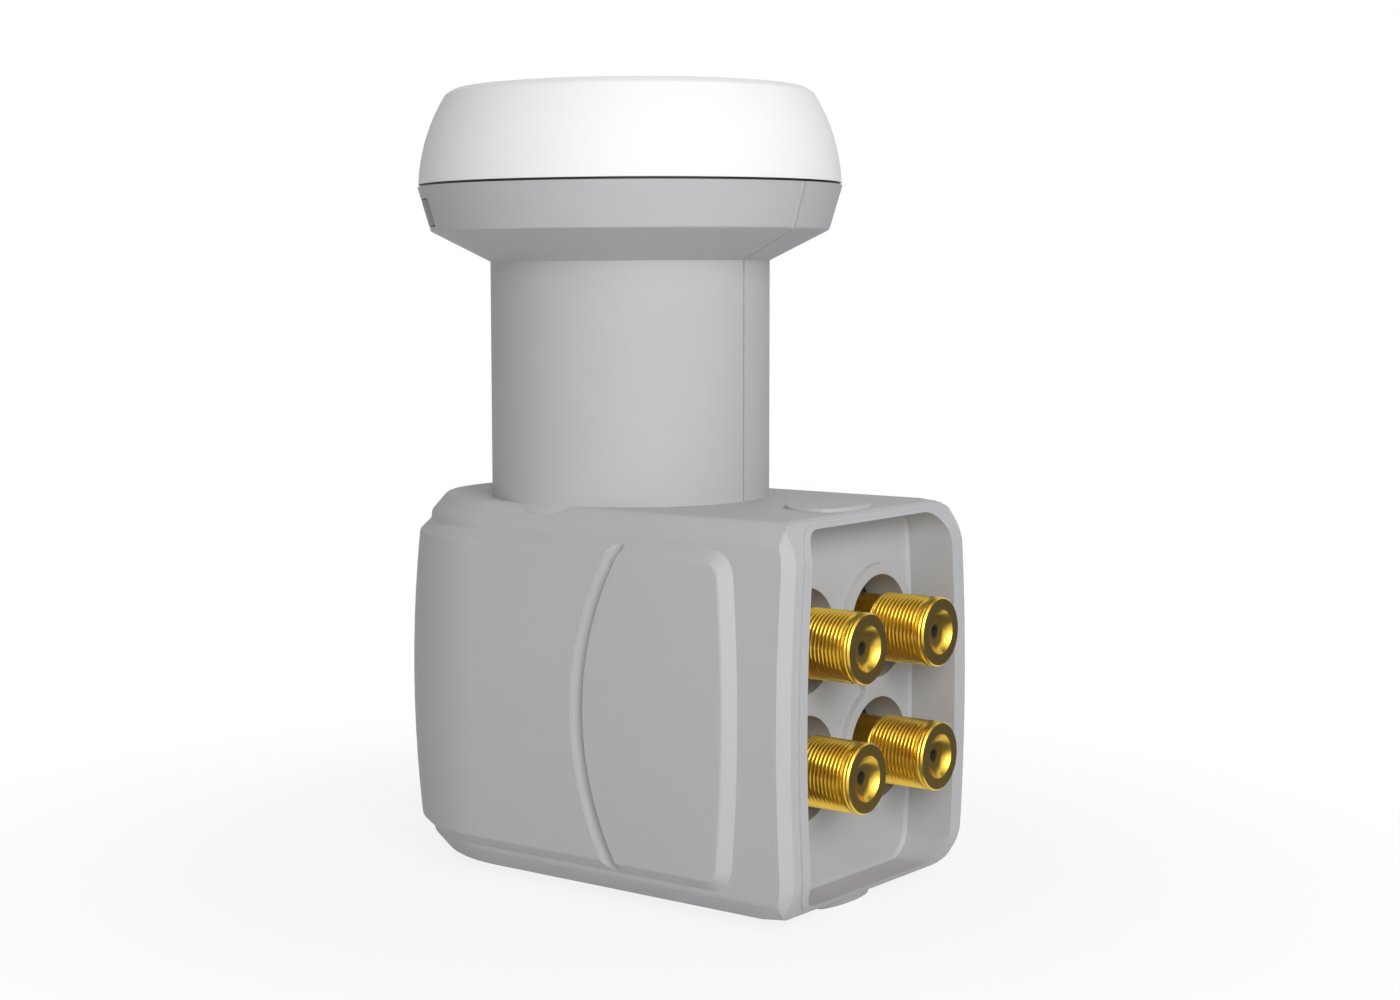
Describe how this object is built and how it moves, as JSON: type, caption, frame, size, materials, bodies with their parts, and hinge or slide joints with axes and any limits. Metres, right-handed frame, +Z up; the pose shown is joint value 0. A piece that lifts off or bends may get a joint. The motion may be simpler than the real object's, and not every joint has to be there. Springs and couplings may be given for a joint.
{
  "type": "satellite lnb",
  "caption": "Satellite LNB with a round neck for a holder, a white weather cap over its feed horn and gold F connectors in a recess at the end of a grey crowned body.",
  "frame": {"origin": "on the neck's axis, level with the top face of the body", "axes": "+Z up the neck's axis towards the cap, +X towards the connectors, +Y to the rear shell"},
  "size_m": [0.0806, 0.0606, 0.1126],
  "materials": {
    "grey_plastic": "satin moulded",
    "white_plastic": "satin moulded",
    "dark_plastic": "matte moulded",
    "black_rubber": "matte",
    "cast_metal": "die cast",
    "screw_steel": "plated",
    "board_green": "solder mask",
    "gold_plate": "gold plated",
    "olive_insulator": "moulded"
  },
  "bodies": {
    "root": {"front_shell": "grey_plastic", "rear_shell": "grey_plastic", "connector_shroud": "grey_plastic", "radome_cap": "white_plastic", "cap_seal": "black_rubber", "cap_latch_front": "dark_plastic", "cap_latch_rear": "dark_plastic", "feed_horn": "cast_metal", "casting": "cast_metal", "casting_lid": "cast_metal", "lid_gasket": "black_rubber", "lid_screws": "screw_steel", "circuit_board": "board_green", "shield_frame": "screw_steel", "probe_horizontal": "gold_plate", "probe_vertical": "gold_plate", "isolation_pin": "screw_steel", "connector_seals": "black_rubber", "connector_upper_front": "gold_plate", "connector_upper_rear": "gold_plate", "connector_lower_front": "gold_plate", "connector_lower_rear": "gold_plate", "insulator_upper_front": "olive_insulator", "insulator_upper_rear": "olive_insulator", "insulator_lower_front": "olive_insulator", "insulator_lower_rear": "olive_insulator", "contact_upper_front": "gold_plate", "contact_upper_rear": "gold_plate", "contact_lower_front": "gold_plate", "contact_lower_rear": "gold_plate"}
  },
  "joints": []
}
